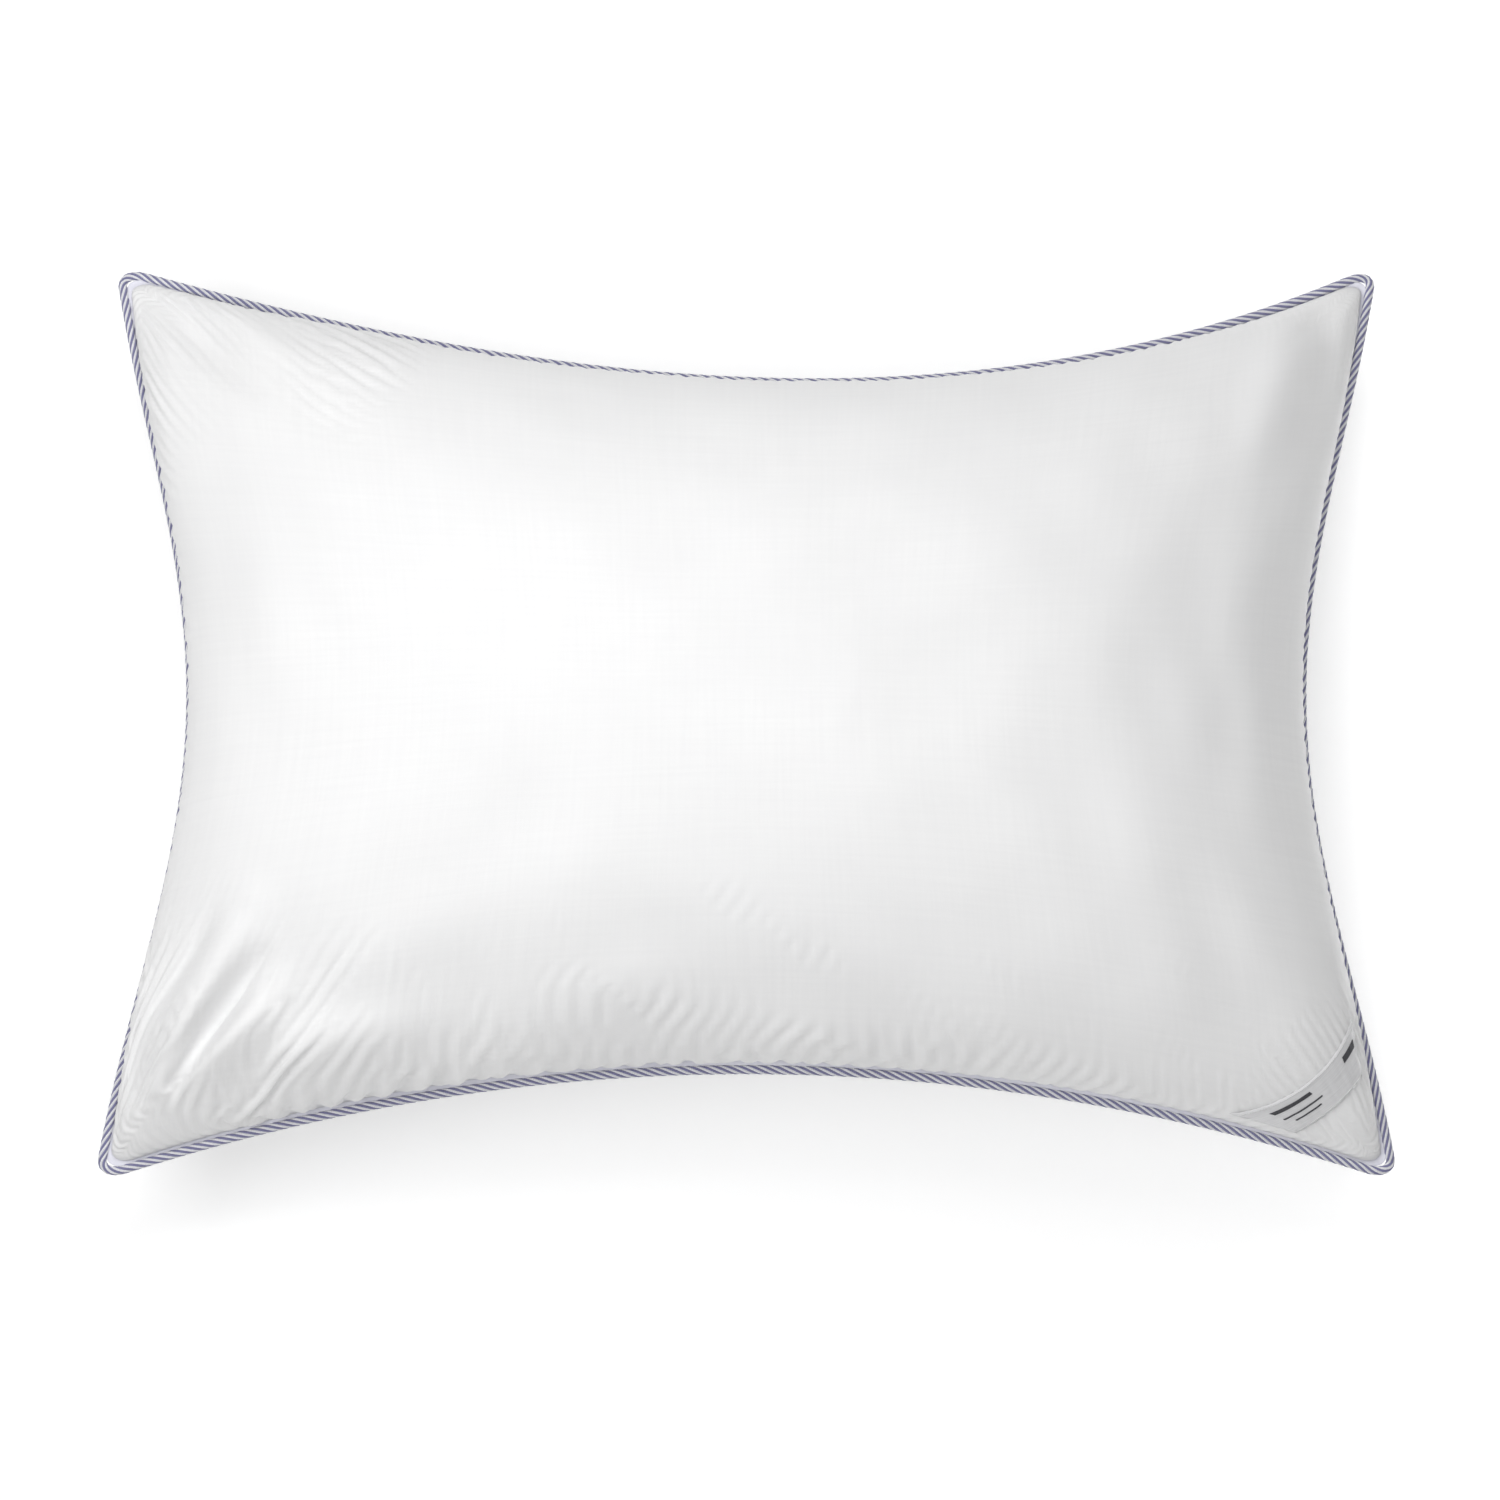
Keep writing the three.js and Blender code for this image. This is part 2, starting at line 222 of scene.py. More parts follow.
def grid_normals(points):
    along = np.gradient(points, axis=0)
    across = np.gradient(points, axis=1)
    return unit(np.cross(along, across))


def falloff(distance, width):
    """1 at no distance, easing to 0 at width."""
    near = np.clip(1 - distance / width, 0, 1)
    return near * near * (3 - 2 * near)


def shifted(shape, shift, start):
    """Slices of points of a grid and of the points a shift away from them, spaced so that
    no point is in two pairs."""
    axis = 0 if shift[0] else 1
    first, second = [], []
    for k in range(2):
        step = 2 * shift[axis] if k == axis else 1
        begin = (start if k == axis else 0) + max(0, -shift[k])
        end = shape[k] - max(0, shift[k])
        first.append(slice(begin, end, step))
        second.append(slice(begin + shift[k], end + shift[k], step))
    return tuple(first), tuple(second)


def cloth_links(goal, slack, free):
    """Every thread of the cloth as slices of its ends, its cut length and how far each end
    gives. slack is the extra cloth in xx, yy and xy at each point, over the goal shape."""
    stretch, shear, bend, long_bend = 1, 0.3, 0.1, 0.03
    kinds = [((1, 0), 2, stretch), ((0, 1), 2, stretch), ((1, 1), 2, shear)]
    kinds += [((1, -1), 2, shear), ((2, 0), 4, bend), ((0, 2), 4, bend)]
    kinds += [((4, 0), 8, long_bend), ((0, 4), 8, long_bend)]
    links = []
    for shift, starts, firmness in kinds:
        u, v = np.array(shift) / math.hypot(*shift)
        for start in range(starts):
            a, b = shifted(goal.shape[:2], shift, start)
            length = np.linalg.norm(goal[b] - goal[a], axis=-1)
            mean = (slack[a] + slack[b]) / 2
            extra = mean[..., 0] * u * u + mean[..., 1] * v * v + 2 * mean[..., 2] * u * v
            both = np.maximum(free[a] + free[b], 1e-9)
            give_a, give_b = firmness * free[a] / both, firmness * free[b] / both
            cut = length * (1 + extra)
            links.append([a, b] + [k.astype(np.float32) for k in (cut, give_a, give_b)])
    return links


def settle(goal, slack, lowest):
    """Position-based cloth: the seam is held, each thread keeps its cut length, and the
    fill behind the cloth presses it back towards the goal shape, no lower than lowest."""
    free = np.zeros(goal.shape[:2])
    free[1:-1, 1:-1] = 1
    links = cloth_links(goal, slack, free)
    free = free[..., None].astype(np.float32)
    outward = grid_normals(goal).astype(np.float32)
    goal = goal.astype(np.float32)
    ripple = soft_noise(goal.shape[:2], 12)[..., None]
    now = goal + (FIRST_RIPPLE * ripple * outward * free).astype(np.float32)
    before = now.copy()
    for _ in range(SETTLING_ROUNDS):
        drift = KEPT_MOTION * (now - before)
        before = now.copy()
        now += drift * free
        sunk = np.sum((goal - now) * outward, -1, keepdims=True)
        now += PRESSING * sunk * outward * free
        for a, b, cut, give_a, give_b in links:
            across = now[b] - now[a]
            length = np.sqrt(np.einsum("...i,...i", across, across))
            pull = ((length - cut) / np.maximum(length, 1e-9))[..., None] * across
            now[a] += give_a[..., None] * pull
            now[b] -= give_b[..., None] * pull
        now[..., 2] = np.maximum(now[..., 2], lowest)
    return now.astype(float)


def soft_noise(shape, passes):
    """Seeded noise over a grid, smoothed, with a spread of 1."""
    noise = np.random.default_rng(PILLOW_SEED).normal(size=shape)
    for _ in range(passes):
        for axis in (0, 1):
            noise = (noise + np.roll(noise, 1, axis) + np.roll(noise, -1, axis)) / 3
    return noise / noise.std()


# ---- gathers and folds of the panels ----
def seam_distances(points, s, t):
    """Distance of each point to the -Y, +Y, -X and +X seams, over the swell of the cloth."""
    rise = points[..., 2] - seam_height(s, t)
    x, y = points[..., 0], points[..., 1]
    low, high = np.full_like(t, -1), np.ones_like(t)
    return {
        "bottom": np.hypot(y + half_width(s, low), rise),
        "top": np.hypot(half_width(s, high) - y, rise),
        "left": np.hypot(x + half_length(t), rise),
        "right": np.hypot(half_length(t) - x, rise),
    }


def gather(slack, amount, degrees):
    """Adds extra cloth of that amount, measured along the direction at that angle."""
    u, v = math.cos(math.radians(degrees)), math.sin(math.radians(degrees))
    slack += amount[..., None] * np.array([u * u, v * v, u * v])


def near_place(points, x, y, width):
    return falloff(np.hypot(points[..., 0] - x, points[..., 1] - y), width)


# Gathers into a seam: its name, share of extra cloth, reach, and direction in degrees
FRONT_SEAM_GATHERS = [("top", 0.06, 0.06, 8), ("left", 0.06, 0.06, 70), ("right", 0.04, 0.05, 95)]
BACK_SEAM_GATHERS = [("bottom", 0.12, 0.12, 6), ("top", 0.10, 0.11, -8),
                     ("left", 0.08, 0.08, 95), ("right", 0.08, 0.08, 85)]
BOTTOM_GATHER = (0.15, 0.12, -12)  # share, reach and direction of the front's longest one

# Gathers around a place: x, y, reach, share of extra cloth, and direction in degrees
FRONT_PLACE_GATHERS = [
    (-0.270, -0.160, 0.10, 0.10, -38),
    (-0.300, 0.190, 0.08, 0.09, 42),
    (-0.215, 0.180, 0.06, 0.12, 60),
    (0.310, 0.180, 0.09, 0.03, 20),
    (0.310, -0.205, 0.06, 0.12, 45),
]
BACK_PLACE_GATHERS = [(-0.28, -0.18, 0.10, 0.12, -40), (-0.28, 0.18, 0.10, 0.12, 40),
                      (0.28, 0.18, 0.10, 0.12, -40), (0.28, -0.18, 0.10, 0.12, 40)]
SMOOTH_TIP = 0.07  # how far from a corner's tip the cloth stays smooth


def stretched_slack(points):
    slack = np.zeros(points.shape)
    slack[..., :2] -= TIGHTNESS
    return slack


def front_slack(points, s, t):
    """Where the front panel has cloth to spare, and the way it is gathered."""
    seams = seam_distances(points, s, t)
    slack = stretched_slack(points)
    more_to_the_left = 0.6 - 0.4 * s
    uneven = np.clip(0.9 + 0.35 * soft_noise(s.shape, 30), 0.2, 1.6)
    flat_at_seam = 1 - 0.8 * falloff(seams["bottom"], 0.016)
    amount, reached, degrees = BOTTOM_GATHER
    near_bottom = falloff(seams["bottom"], reached * uneven)
    bottom = more_to_the_left * uneven * flat_at_seam * near_bottom
    gather(slack, amount * bottom, degrees)
    for seam, amount, reached, degrees in FRONT_SEAM_GATHERS:
        gather(slack, amount * uneven * falloff(seams[seam], reached), degrees)
    for x, y, reached, amount, degrees in FRONT_PLACE_GATHERS:
        gather(slack, amount * near_place(points, x, y, reached), degrees)
    for x in (-1, 1):
        for y in (-1, 1):
            tip = near_place(points, x * PANEL_HIGH[0], y * PANEL_HIGH[1], SMOOTH_TIP)
            slack *= (1 - tip)[..., None]
    return slack


def back_slack(points, s, t):
    """The same for the back panel, which is gathered more evenly."""
    seams = seam_distances(points, s, t)
    slack = stretched_slack(points)
    for seam, amount, reached, degrees in BACK_SEAM_GATHERS:
        gather(slack, amount * falloff(seams[seam], reached), degrees)
    for x, y, reached, amount, degrees in BACK_PLACE_GATHERS:
        gather(slack, amount * near_place(points, x, y, reached), degrees)
    return slack


# Folds that the corners' stuffing raises: from, to, half width and height
FRONT_FOLDS = [
    ((-0.327, -0.227), (-0.262, -0.115), 0.014, 0.014),
    ((-0.314, -0.168), (-0.281, -0.121), 0.006, -0.007),
    ((-0.302, -0.203), (-0.256, -0.141), 0.007, -0.013),
    ((-0.300, -0.208), (-0.245, -0.160), 0.012, 0.017),
    ((-0.258, -0.194), (-0.170, -0.174), 0.015, 0.008),
    ((-0.325, 0.228), (-0.268, 0.170), 0.010, -0.007),
    ((-0.310, 0.238), (-0.240, 0.185), 0.010, 0.005),
    ((0.325, 0.230), (0.305, 0.120), 0.012, -0.006),
    ((0.300, 0.220), (0.270, 0.130), 0.014, 0.004),
]


def folds(points, lines):
    """Height of long soft folds over a panel."""
    height = np.zeros(points.shape[:2])
    for start, end, width, rise in lines:
        start, end = np.array(start), np.array(end)
        length = np.linalg.norm(end - start)
        way = (end - start) / length
        across = points[..., :2] - start
        along = across @ way
        beside = across @ np.array([-way[1], way[0]])
        share = np.clip(along / length, 0, 1)
        beyond = np.hypot(beside, along - share * length)
        swell = np.sin(np.pi * (0.08 + 0.84 * share))  # highest halfway, low at its ends
        height += rise * swell * np.exp(-(beyond / width) ** 2)
    return height


def panel_cloth(name, rise, slack_of, fold_lines):
    """A settled panel and its grid of points. The front one stays above the seam, and the
    back one above the surface that the pillow lies on."""
    s, t = cloth_grid()
    smooth = stuffed_panel(s, t, rise)
    slack = slack_of(smooth, s, t)
    seams = seam_distances(smooth, s, t)
    clear = 1 - falloff(np.minimum.reduce(list(seams.values())), 0.016)
    lowest = seam_height(s, t) + HALF_SEAM if rise > 0 else 0
    height = folds(smooth, fold_lines) + LUMPS * soft_noise(s.shape, 60)
    goal = smooth.copy()
    goal[..., 2] += math.copysign(1, rise) * height * clear
    goal[..., 2] = np.maximum(goal[..., 2], lowest)
    cloth = settle(goal, slack, lowest)
    cloth[..., 2] = np.minimum(cloth[..., 2], PANEL_HIGH[2])
    faces = grid_faces(*cloth.shape[:2])
    if rise < 0:
        faces = faces[:, ::-1]
    uv = np.stack([s * FLAT_CUT[0] / 2, t * FLAT_CUT[1] / 2], -1)
    return mesh_piece(name, cloth, faces, COTTON, uv), cloth


# ---- materials ----
def shader_material(name, color, roughness, **sockets):
    """A new material with its node tree and shader. Even values sit on the shader."""
    material = bpy.data.materials.new(name)
    material.use_nodes = True
    tree = material.node_tree
    shader = tree.nodes["Principled BSDF"]
    shader.inputs["Base Color"].default_value = (*color, 1)
    shader.inputs["Roughness"].default_value = roughness
    for socket, value in sockets.items():
        shader.inputs[socket.replace("_", " ")].default_value = value
    return material, tree, shader


def node(tree, kind, links=(), **settings):
    """Adds a node. Settings are its properties, and links are (input, value or socket)."""
    made = tree.nodes.new(kind)
    for name, value in settings.items():
        setattr(made, name, value)
    for name, value in links:
        if isinstance(value, bpy.types.NodeSocket):
            tree.links.new(value, made.inputs[name])
        else:
            made.inputs[name].default_value = value
    return made


def cloth_coordinates(tree):
    return node(tree, "ShaderNodeUVMap", uv_map="cloth").outputs["UV"]


def stretched_noise(tree, where, scale, detail=2):
    """Noise drawn out along the axis with the smaller of the two scales, per metre."""
    mapped = node(tree, "ShaderNodeMapping", [("Vector", where), ("Scale", (*scale, 1))])
    noise = node(tree, "ShaderNodeTexNoise",
                 [("Vector", mapped.outputs["Vector"]), ("Scale", 1), ("Detail", detail)])
    return noise.outputs["Fac"]


def threads(tree, where, direction, pitch):
    """Bands one thread wide. A wave texture of scale 1 has 20 radians of wave per metre."""
    wave = node(tree, "ShaderNodeTexWave",
                [("Vector", where), ("Scale", 2 * math.pi / (20 * pitch))],
                bands_direction=direction)
    return wave.outputs["Fac"]


def math_node(tree, operation, first, second):
    made = node(tree, "ShaderNodeMath", [(0, first), (1, second)], operation=operation)
    return made.outputs[0]


def bumped(tree, shader, height, strength, distance, under=None):
    """Adds a bump to the shader, over an earlier one if that is given."""
    links = [("Height", height), ("Strength", strength), ("Distance", distance)]
    if under is not None:
        links.append(("Normal", under))
    bump = node(tree, "ShaderNodeBump", links)
    tree.links.new(bump.outputs["Normal"], shader.inputs["Normal"])
    return bump.outputs["Normal"]


def tinted(tree, shader, share, dark, light):
    """Base colour between two tones by a share from 0 to 1."""
    mix = node(tree, "ShaderNodeMix", [("Factor", share)], data_type="RGBA")
    mix.inputs["A"].default_value = (*dark, 1)
    mix.inputs["B"].default_value = (*light, 1)
    tree.links.new(mix.outputs["Result"], shader.inputs["Base Color"])


def roughened(tree, shader, share, low, high):
    """Roughness between two values by a share from 0 to 1."""
    limits = [("Value", share), ("To Min", low), ("To Max", high)]
    made = node(tree, "ShaderNodeMapRange", limits)
    tree.links.new(made.outputs["Result"], shader.inputs["Roughness"])


def woven(name, dark, light, roughness, pitch, slub_strength, **sockets):
    """Plain woven cloth: fine threads both ways, with thicker slubs here and there."""
    material, tree, shader = shader_material(name, light, roughness[0], **sockets)
    where = cloth_coordinates(tree)
    warp = stretched_noise(tree, where, (420, 14))
    weft = stretched_noise(tree, where, (14, 420))
    slubs = math_node(tree, "ADD", warp, weft)
    weave = math_node(tree, "MULTIPLY", threads(tree, where, "X", pitch),
                      threads(tree, where, "Y", pitch))
    cloudy = stretched_noise(tree, where, (9, 9), 3)
    tone = math_node(tree, "MULTIPLY", slubs, cloudy)
    tinted(tree, shader, tone, dark, light)
    roughened(tree, shader, cloudy, *roughness)
    fine = bumped(tree, shader, weave, 0.25, pitch / 4)
    bumped(tree, shader, slubs, slub_strength, 0.0005, fine)
    return material


def satin(name, dark, light):
    """Satin ribbon: long floats along it, a gentle sheen and little bump."""
    material, tree, shader = shader_material(name, light, 0.35, Sheen_Weight=0.2,
                                             Sheen_Roughness=0.3, Anisotropic=0.4)
    where = cloth_coordinates(tree)
    floats = stretched_noise(tree, where, (30, 1500))
    cloudy = stretched_noise(tree, where, (25, 60), 3)
    tinted(tree, shader, math_node(tree, "MULTIPLY", floats, 1.6), dark, light)
    roughened(tree, shader, cloudy, 0.3, 0.5)
    bumped(tree, shader, floats, 0.2, 0.0002)
    return material


def yarn(name, dark, light, pitch=0.0009):
    """Spun yarn: its own fine twist, and a little fuzz in the tone."""
    material, tree, shader = shader_material(name, light, 0.8, Sheen_Weight=0.25,
                                             Sheen_Roughness=0.5)
    where = cloth_coordinates(tree)
    slant = node(tree, "ShaderNodeVectorRotate", [("Vector", where), ("Angle", 0.6)],
                 rotation_type="Z_AXIS")
    twist = threads(tree, slant.outputs["Vector"], "X", pitch)
    fuzz = stretched_noise(tree, where, (300, 900), 3)
    tone = math_node(tree, "MULTIPLY", math_node(tree, "ADD", twist, fuzz), 0.7)
    tinted(tree, shader, tone, dark, light)
    roughened(tree, shader, fuzz, 0.7, 0.95)
    bumped(tree, shader, twist, 0.6, 0.0002)
    return material


def fibre():
    """Loose white fibre of the fill."""
    material, tree, shader = shader_material("loose fibre", (0.9, 0.9, 0.88), 0.95,
                                             Sheen_Weight=0.5)
    where = node(tree, "ShaderNodeTexCoord").outputs["Object"]
    tufts = stretched_noise(tree, where, (90, 90), 6)
    tinted(tree, shader, tufts, (0.72, 0.72, 0.7), (0.92, 0.92, 0.9))
    bumped(tree, shader, tufts, 0.8, 0.004)
    return material


def print_ink():
    """Matt dark ink, a little uneven where it soaked into the satin."""
    material, tree, shader = shader_material("label ink", (0.03, 0.03, 0.035), 0.6)
    where = node(tree, "ShaderNodeTexCoord").outputs["Object"]
    blots = stretched_noise(tree, where, (800, 800), 4)
    tinted(tree, shader, blots, (0.02, 0.02, 0.025), (0.07, 0.07, 0.08))
    roughened(tree, shader, blots, 0.5, 0.75)
    return material


COTTON = woven("panel cotton", (0.77, 0.77, 0.775), (0.84, 0.84, 0.84), (0.55, 0.75),
               0.0006, 0.1, Sheen_Weight=0.12, Sheen_Roughness=0.4)
LIP_COTTON = woven("lip cotton", (0.66, 0.66, 0.74), (0.84, 0.84, 0.90), (0.7, 0.85),
                   0.0005, 0.3, Sheen_Weight=0.1)
SATIN = satin("label satin", (0.56, 0.56, 0.57), (0.70, 0.70, 0.71))
CARE_SATIN = satin("care label satin", (0.7, 0.7, 0.69), (0.82, 0.82, 0.81))
BLUE_YARN = yarn("blue yarn", (0.11, 0.11, 0.21), (0.24, 0.24, 0.41))
WHITE_YARN = yarn("white yarn", (0.62, 0.62, 0.66), (0.86, 0.86, 0.88))
THREAD = yarn("sewing thread", (0.6, 0.6, 0.61), (0.84, 0.84, 0.84), 0.0004)
FIBRE = fibre()
INK = print_ink()


# ---- pieces ----
def finished(piece, slot, *nodes):
    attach(piece, "root")
    if nodes:
        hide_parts(*nodes)
    return piece


def fill_body(front, back):
    """The fill: the space between the two settled panels, drawn in from them all round."""
    every = 6  # it takes every sixth point of the cloth
    upper, lower = front[::every, ::every].copy(), back[::every, ::every].copy()
    thickness = (upper - lower)[..., 2]
    inset = np.minimum(0.007, 0.3 * thickness)
    upper[..., 2] -= inset
    lower[..., 2] += inset
    rows, columns = upper.shape[:2]
    rim = np.zeros((rows, columns), bool)
    rim[0], rim[-1], rim[:, 0], rim[:, -1] = True, True, True, True
    upper[rim] = lower[rim] = (upper[rim] + lower[rim]) / 2
    drawn_in = np.array([0.965, 0.95, 1])
    upper, lower = upper * drawn_in, lower * drawn_in
    index = np.arange(rows * columns).reshape(rows, columns)
    under = np.where(rim, index, 0)
    under[~rim] = rows * columns + np.arange((~rim).sum())
    quads = grid_faces(rows, columns)
    flipped = under.ravel()[quads][:, ::-1]
    points = np.concatenate([upper.reshape(-1, 3), lower[~rim]])
    return mesh_piece("fiber_fill_body", points, np.concatenate([quads, flipped]), FIBRE)


def lip_strip():
    """The cord's tape: flat in the seam, a little puckered where it shows beside the cord."""
    count = 1600
    s, t, length = outline(count)
    insets = [ALLOWANCE, 0.004, 0.0, -0.0018, -LIP, -LIP - GAP]
    puckers = np.sin(2 * np.pi * np.arange(count) / 9.0)  # one every nine points
    pucker = 0.0004 * puckers * soft_noise((count, 1), 6)[:, 0]
    rows, uv = [], []
    for side in (1, -1):
        for inset in insets if side > 0 else insets[::-1]:
            ring = seam_points(s, t, inset)
            shows = min(1, max(0, -inset / LIP))  # 0 in the seam, 1 at the cord
            ring[:, 2] += side * TAPE / 2 * (1 - 0.3 * shows) + shows * pucker
            rows.append(ring)
            uv.append(np.stack([np.arange(count) * length / count, np.full(count, inset)], -1))
    faces = grid_faces(len(rows), count, join_rows=True, join_columns=True)
    return mesh_piece("piping_lip", np.array(rows), faces, LIP_COTTON, np.array(uv))


def tube(centres, tangents, beside, radius, sides, first, closed=True):
    """Points, faces and uv of a tube along a path, for joining with others."""
    above = unit(np.cross(tangents, beside))
    beside = unit(np.cross(above, tangents))
    around = 2 * np.pi * np.arange(sides) / sides
    rings = centres[:, None] + radius * (np.cos(around)[:, None] * beside[:, None]
                                         + np.sin(around)[:, None] * above[:, None])
    steps = np.linalg.norm(np.diff(centres, axis=0), axis=1)
    along = np.concatenate([[0], np.cumsum(steps)])
    uv = np.stack(np.broadcast_arrays(along[:, None], radius * around[None, :]), -1)
    faces = grid_faces(len(centres), sides, closed, True, first)
    return rings.reshape(-1, 3), faces, uv.reshape(-1, 2)


def joined(name, makers, material):
    """One piece from several tubes. Each maker is told how many points come before its own."""
    points, faces, uv, first = [], [], [], 0
    for make in makers:
        more, quads, where = make(first)
        points.append(more)
        faces.append(quads)
        uv.append(where)
        first += len(more)
    return mesh_piece(name, np.concatenate(points), np.concatenate(faces), material,
                      np.concatenate(uv))


STRANDS = 8
STRAND_SIDES = 7
TURNS = 94  # of the cord's twist around the whole pillow
STEPS_IN_A_TURN = 14
STRAND_PLUMPNESS = 1.12  # strands are squeezed, so each is wider than if they just touched


def cord_strand(number, first):
    """One strand of the cord, alternately white and blue, laid around its axis."""
    count = TURNS * STEPS_IN_A_TURN
    s, t, _ = outline(count)
    axis = seam_points(s, t, -(LIP + GAP + CORD_DIAMETER / 2))
    heading = unit(np.roll(axis, -1, 0) - np.roll(axis, 1, 0))
    inward = unit(np.cross([0, 0, 1], heading))
    upward = np.cross(heading, inward)
    touching = CORD_DIAMETER / 2 / (1 + 1 / math.sin(math.pi / STRANDS))
    strand_radius = touching * STRAND_PLUMPNESS
    lay_radius = CORD_DIAMETER / 2 - strand_radius
    turn = -2 * np.pi * (TURNS * np.arange(count) / count + number / STRANDS)
    out = np.cos(turn)[:, None] * upward + np.sin(turn)[:, None] * inward
    centres = axis + lay_radius * out
    tangents = unit(np.roll(centres, -1, 0) - np.roll(centres, 1, 0))
    return tube(centres, tangents, out, strand_radius, STRAND_SIDES, first)


def cord(name, numbers, material):
    makers = [lambda first, number=number: cord_strand(number, first) for number in numbers]
    return joined(name, makers, material)


STITCH_SIDES = 5
SEAM_STITCHES = 800  # about 3 mm apart
STITCH_INSET = 0.005  # from the seam
STITCH_HEIGHT = 0.0022  # over the seam's middle plane
THREAD_RADIUS = 0.0003
LABEL_THREAD_RADIUS = 0.00022


def stitch(start, end, up, radius, first):
    """One stitch: a short thread that dives into the cloth at both ends."""
    shares = np.array([0, 0.12, 0.35, 0.65, 0.88, 1])
    rise = radius * np.array([-1.2, 0.2, 0.9, 0.9, 0.2, -1.2])
    centres = start + shares[:, None] * (end - start) + rise[:, None] * up
    tangents = np.gradient(centres, axis=0)
    beside = np.cross(tangents, up)
    return tube(centres, tangents, beside, radius, STITCH_SIDES, first, closed=False)


def seam_stitches(name, side):
    """Stitches all around the seam, on its +Z or -Z side."""
    s, t, _ = outline(SEAM_STITCHES)
    path = seam_points(s, t, STITCH_INSET)
    path[:, 2] += side * STITCH_HEIGHT
    makers = []
    for start, end in zip(path, np.roll(path, -1, 0)):
        middle = (start + end) / 2
        half = 0.42 * (start - end)
        a, b = middle + half, middle - half
        makers.append(lambda first, a=a, b=b: stitch(a, b, side * UP, THREAD_RADIUS, first))
    return joined(name, makers, THREAD)


# ---- labels ----
LABEL_CENTRE = np.array([0.252, -0.144])  # of the arc that the label follows
LABEL_RADIUS = 0.075
LABEL_WIDTH = 0.020
LABEL_LENGTH = 0.16  # about, for its weave
LABEL_MIDDLE = -0.65  # angle of the middle of the label's arc, in radians
LABEL_SPREAD = 1.0  # more than the label takes up to either side of that
LABEL_REACH = 0.985  # how near to the seam it ends, as a share of the way out
LABEL_LINES = (12, 120)  # of its grid, across and along
LABEL_LIFT = 0.001
LABEL_CLOTH = 0.0004
INK_DEPTH = 0.0003
CARE_LINES = (24, 30)  # of the care label's grid, along and across the pillow
CARE_START = 0.002  # in from the seam
CARE_LIFT = 0.0012


def label_place(radius, angle):
    return LABEL_CENTRE + radius * np.array([math.cos(angle), math.sin(angle)])


def label_end(radius, side):
    """Angle where the label's arc of that radius meets the seam."""
    inside, outside = LABEL_MIDDLE, LABEL_MIDDLE + side * LABEL_SPREAD
    for _ in range(30):
        angle = (inside + outside) / 2
        if reach(*plan_at(*label_place(radius, angle))) < LABEL_REACH:
            inside = angle
        else:
            outside = angle
    return inside


def hit(surface, x, y, side):
    """Point and outward normal of a panel straight above or below the place (x, y)."""
    point, normal, _, _ = surface.ray_cast(Vector((x, y, side)), Vector((0, 0, -side)))
    if normal.z * side < 0:
        normal = -normal
    return np.array(point), np.array(normal)


def label_grid(surface):
    """The label's own surface: points over the panel by radius and along the arc, evened
    out where it lies taut across small wrinkles."""
    rows = []
    for radius in LABEL_RADIUS + np.linspace(0, LABEL_WIDTH, LABEL_LINES[0]):
        start, end = label_end(radius, -1), label_end(radius, 1)
        row = []
        for share in np.linspace(0, 1, LABEL_LINES[1]):
            point, normal = hit(surface, *label_place(radius, start + (end - start) * share), 1)
            row.append(point + LABEL_LIFT * normal)
        rows.append(row)
    return taut(np.array(rows), 14)


def taut(rows, rounds):
    """Evens out a strip that lies across small wrinkles."""
    for _ in range(rounds):
        inner = (rows[:, :-2] + rows[:, 2:]) / 2
        rows[:, 1:-1] = (rows[:, 1:-1] + inner) / 2
    return rows


def label_part(grid, across, along, lift):
    """Points lifted from the label at shares across and along it."""
    normals = grid_normals(grid)
    normals *= np.sign(normals[..., 2].mean())
    u = np.asarray(across) * (grid.shape[0] - 1)
    v = np.asarray(along) * (grid.shape[1] - 1)
    u_low = np.minimum(u.astype(int), grid.shape[0] - 2)
    v_low = np.minimum(v.astype(int), grid.shape[1] - 2)
    u_share = (u - u_low)[:, None, None]
    v_share = (v - v_low)[None, :, None]
    lifted = grid + lift * normals
    low = lifted[u_low][:, v_low] * (1 - v_share) + lifted[u_low][:, v_low + 1] * v_share
    high = lifted[u_low + 1][:, v_low] * (1 - v_share) + lifted[u_low + 1][:, v_low + 1] * v_share
    return low * (1 - u_share) + high * u_share


def thin_sheet(name, rows, thickness, material, uv):
    """A strip with its thickness, from the points of its outer side. That side faces up, or
    down where the thickness is negative."""
    normals = grid_normals(rows)
    if normals[..., 2].mean() * math.copysign(1, thickness) < 0:
        normals = -normals
    lower = rows - abs(thickness) * normals
    count, columns = rows.shape[:2]
    quads = grid_faces(count, columns)
    under = count * columns
    index = np.arange(under).reshape(count, columns)
    rim = np.concatenate([index[0], index[1:, -1], index[-1, -2::-1], index[-2:0:-1, 0]])
    after = np.roll(rim, -1)
    sides = np.stack([rim, after, after + under, rim + under], -1)
    faces = np.concatenate([quads, quads[:, ::-1] + under, sides])
    points = np.concatenate([rows.reshape(-1, 3), lower.reshape(-1, 3)])
    return mesh_piece(name, points, faces, material, np.concatenate([uv, uv]).reshape(-1, 2))


def label_strip(name, grid, across, along, lift, thickness, material):
    """A strip on the label, between two shares across it and two along it."""
    across, along = np.linspace(*across, LABEL_LINES[0]), np.linspace(*along, LABEL_LINES[1])
    places = np.meshgrid(across * LABEL_WIDTH, along * LABEL_LENGTH, indexing="ij")
    uv = np.stack(places[::-1], -1)
    rows = label_part(grid, across, along, lift)
    return thin_sheet(name, rows, thickness, material, uv)


